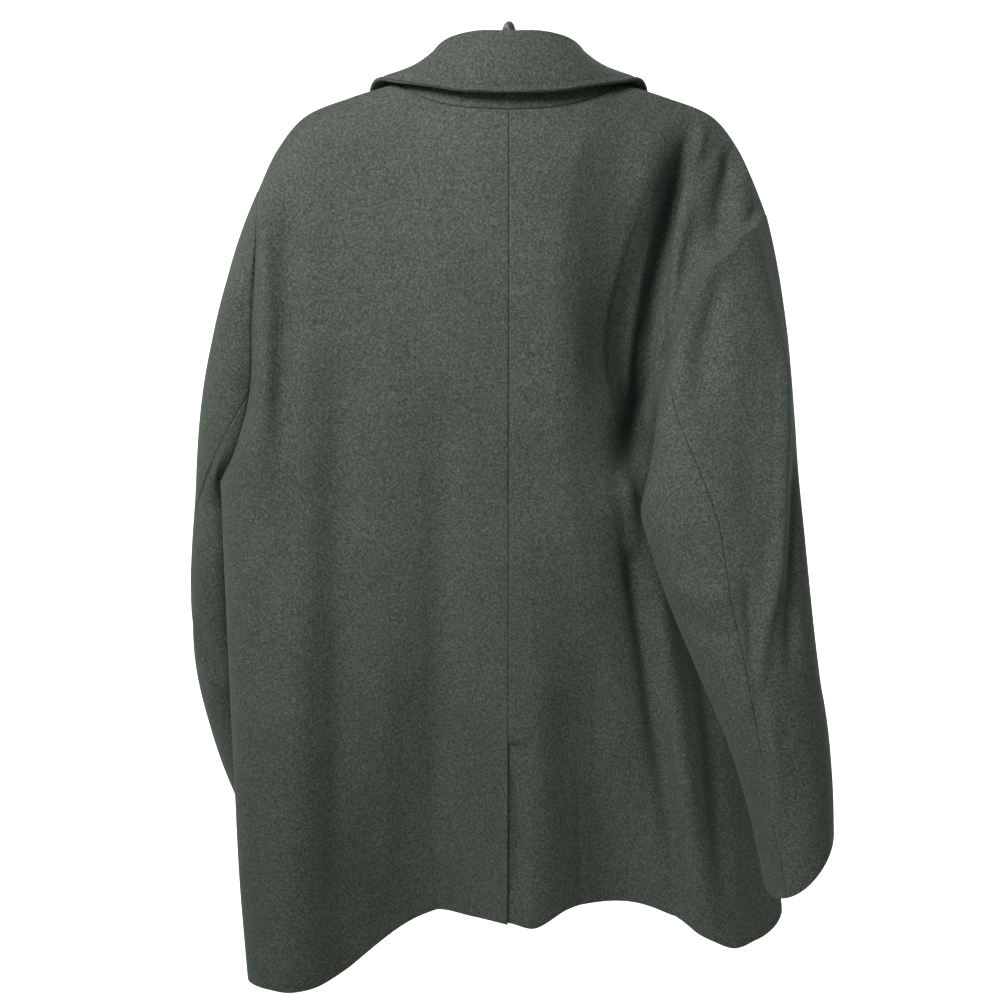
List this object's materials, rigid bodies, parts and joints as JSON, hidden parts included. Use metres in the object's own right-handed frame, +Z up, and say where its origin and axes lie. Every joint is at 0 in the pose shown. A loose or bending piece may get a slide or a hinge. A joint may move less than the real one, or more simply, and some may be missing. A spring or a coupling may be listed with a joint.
{
  "type": "wool overcoat on a hanger",
  "caption": "Straight wool overcoat with a turn-down collar, back vent and two-piece sleeves, hanging from the hook of a plain hanger.",
  "frame": {"origin": "inside top of the hanger's hook, where a rail carries it", "axes": "+Z up, -Y towards the coat's front, +X towards the wearer's left"},
  "size_m": [0.6785, 0.3374, 0.985],
  "materials": {
    "wool": "matt, brushed melton wool",
    "button": "satin",
    "hanger": "matt",
    "hook": "satin black"
  },
  "bodies": {
    "root": {"back_left": "wool", "back_right": "wool", "front_left": "wool", "front_right": "wool", "lapel_left": "wool", "lapel_right": "wool", "sleeve_top_left": "wool", "sleeve_top_right": "wool", "sleeve_under_left": "wool", "sleeve_under_right": "wool", "collar_fall": "wool", "collar_stand": "wool", "button_1": "button", "button_2": "button", "button_3": "button", "hanger": "hanger", "hook": "hook"}
  },
  "joints": []
}
